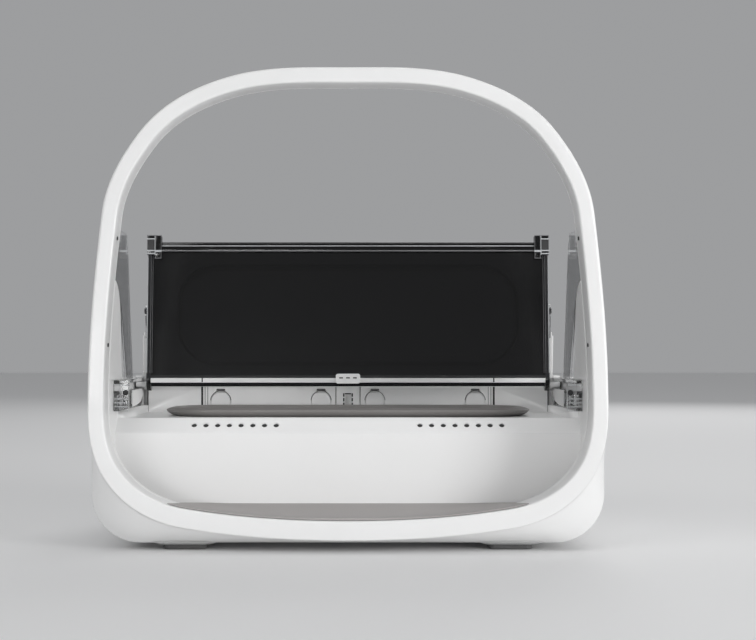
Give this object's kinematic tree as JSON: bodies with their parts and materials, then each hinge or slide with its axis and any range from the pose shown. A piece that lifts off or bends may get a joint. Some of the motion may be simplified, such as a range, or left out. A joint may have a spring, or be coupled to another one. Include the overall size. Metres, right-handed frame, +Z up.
{
  "type": "microchip pet feeder",
  "caption": "Pet feeder with a reader hoop in front, a bowl on a white base, and a smoky clear lid that tips up behind the bowl on guide rails.",
  "frame": {"origin": "on the floor under the middle of the feeder", "axes": "+X to the right, +Y to the back, +Z up; the hoop faces -Y"},
  "size_m": [0.316, 0.2, 0.295],
  "materials": {
    "white_plastic": "satin moulded",
    "clear_plastic": "polished clear",
    "smoke_plastic": "polished smoky clear",
    "warm_grey_plastic": "fine matte",
    "soft_grey_rubber": "matte",
    "dark_rubber": "matte",
    "dark_plastic": "matte",
    "dark_steel": "blackened",
    "steel": "plated",
    "copper_wire": "enamelled wire",
    "gear_brass": "machined",
    "contact_metal": "nickel plated",
    "motor_metal": "satin",
    "cell_wrap": "printed film, bare",
    "board_green": "solder mask",
    "button_grey": "matte",
    "light_green": "diffuse lens"
  },
  "bodies": {
    "base": {"hoop_front": "white_plastic", "hoop_rear": "white_plastic", "antenna_coil": "copper_wire", "hoop_sensors": "dark_plastic", "base_shell": "white_plastic", "bottom_cover": "white_plastic", "left_cheek": "white_plastic", "right_cheek": "white_plastic", "left_shield": "clear_plastic", "right_shield": "clear_plastic", "left_rail": "clear_plastic", "right_rail": "clear_plastic", "left_bearing": "white_plastic", "right_bearing": "white_plastic", "rear_wall_insert": "white_plastic", "sound_screen": "dark_plastic", "bowl_well": "white_plastic", "gear_motor": "motor_metal", "left_cells": "cell_wrap", "right_cells": "cell_wrap", "battery_contacts": "contact_metal", "circuit_board": "board_green", "status_light": "light_green", "rubber_feet": "dark_rubber", "base_screws": "steel", "hoop_screws": "steel"},
    "lift": {"cross_shaft": "dark_steel", "shaft_gear": "gear_brass", "left_link": "clear_plastic", "right_link": "clear_plastic", "left_arm_cover": "white_plastic", "right_arm_cover": "white_plastic"},
    "motor_output": {"motor_gear": "gear_brass", "motor_rotor_shaft": "steel"},
    "lid": {"lid_panel": "smoke_plastic", "left_lid_flange": "clear_plastic", "right_lid_flange": "clear_plastic", "lid_rear_bar": "clear_plastic", "lid_front_bar": "white_plastic", "lid_seal": "dark_rubber"},
    "bowl": {"bowl": "warm_grey_plastic"},
    "front_mat": {"front_mat": "soft_grey_rubber"},
    "left_door": {"left_battery_door": "white_plastic"},
    "right_door": {"right_battery_door": "white_plastic"},
    "add_button": {"add_button": "button_grey"},
    "open_button": {"open_button": "button_grey"},
    "learn_button": {"learn_button": "button_grey"}
  },
  "joints": [
    {"name": "lift_turn", "type": "hinge", "parent": "base", "child": "lift", "pos_m": [0, 0.0505, 0.0998], "axis": [1, 0, 0], "range_deg": [0, 85]},
    {"name": "lid_turn", "type": "hinge", "parent": "lift", "child": "lid", "pos_m": [0, 0.04597, 0.1516], "axis": [1, 0, 0], "range_deg": [-170, 0]},
    {"name": "motor_turn", "type": "hinge", "parent": "base", "child": "motor_output", "pos_m": [0, 0.06035, 0.0921], "axis": [1, 0, 0], "range_deg": [-33.1, 0]},
    {"name": "bowl_lift", "type": "slide", "parent": "base", "child": "bowl", "axis": [0, 0, 1], "range_m": [0, 0.08]},
    {"name": "mat_lift", "type": "slide", "parent": "base", "child": "front_mat", "axis": [0, 0, 1], "range_m": [0, 0.04]},
    {"name": "left_door_turn", "type": "hinge", "parent": "base", "child": "left_door", "pos_m": [0, 0.0181, 0.00625], "axis": [1, 0, 0], "range_deg": [0, 90]},
    {"name": "right_door_turn", "type": "hinge", "parent": "base", "child": "right_door", "pos_m": [0, 0.0181, 0.00625], "axis": [1, 0, 0], "range_deg": [0, 90]},
    {"name": "add_button_press", "type": "slide", "parent": "base", "child": "add_button", "axis": [0, -1, 0], "range_m": [0, 0.0012], "stiffness_N_per_m": 600, "springref_m": -0.001},
    {"name": "open_button_press", "type": "slide", "parent": "base", "child": "open_button", "axis": [0, -1, 0], "range_m": [0, 0.0012], "stiffness_N_per_m": 600, "springref_m": -0.001},
    {"name": "learn_button_press", "type": "slide", "parent": "base", "child": "learn_button", "axis": [0, -1, 0], "range_m": [0, 0.0012], "stiffness_N_per_m": 600, "springref_m": -0.001}
  ],
  "couplings": [
    {"joint": "lid_turn", "follows": "lift_turn", "ratio": -2},
    {"joint": "motor_turn", "follows": "lift_turn", "ratio": -0.38889}
  ]
}
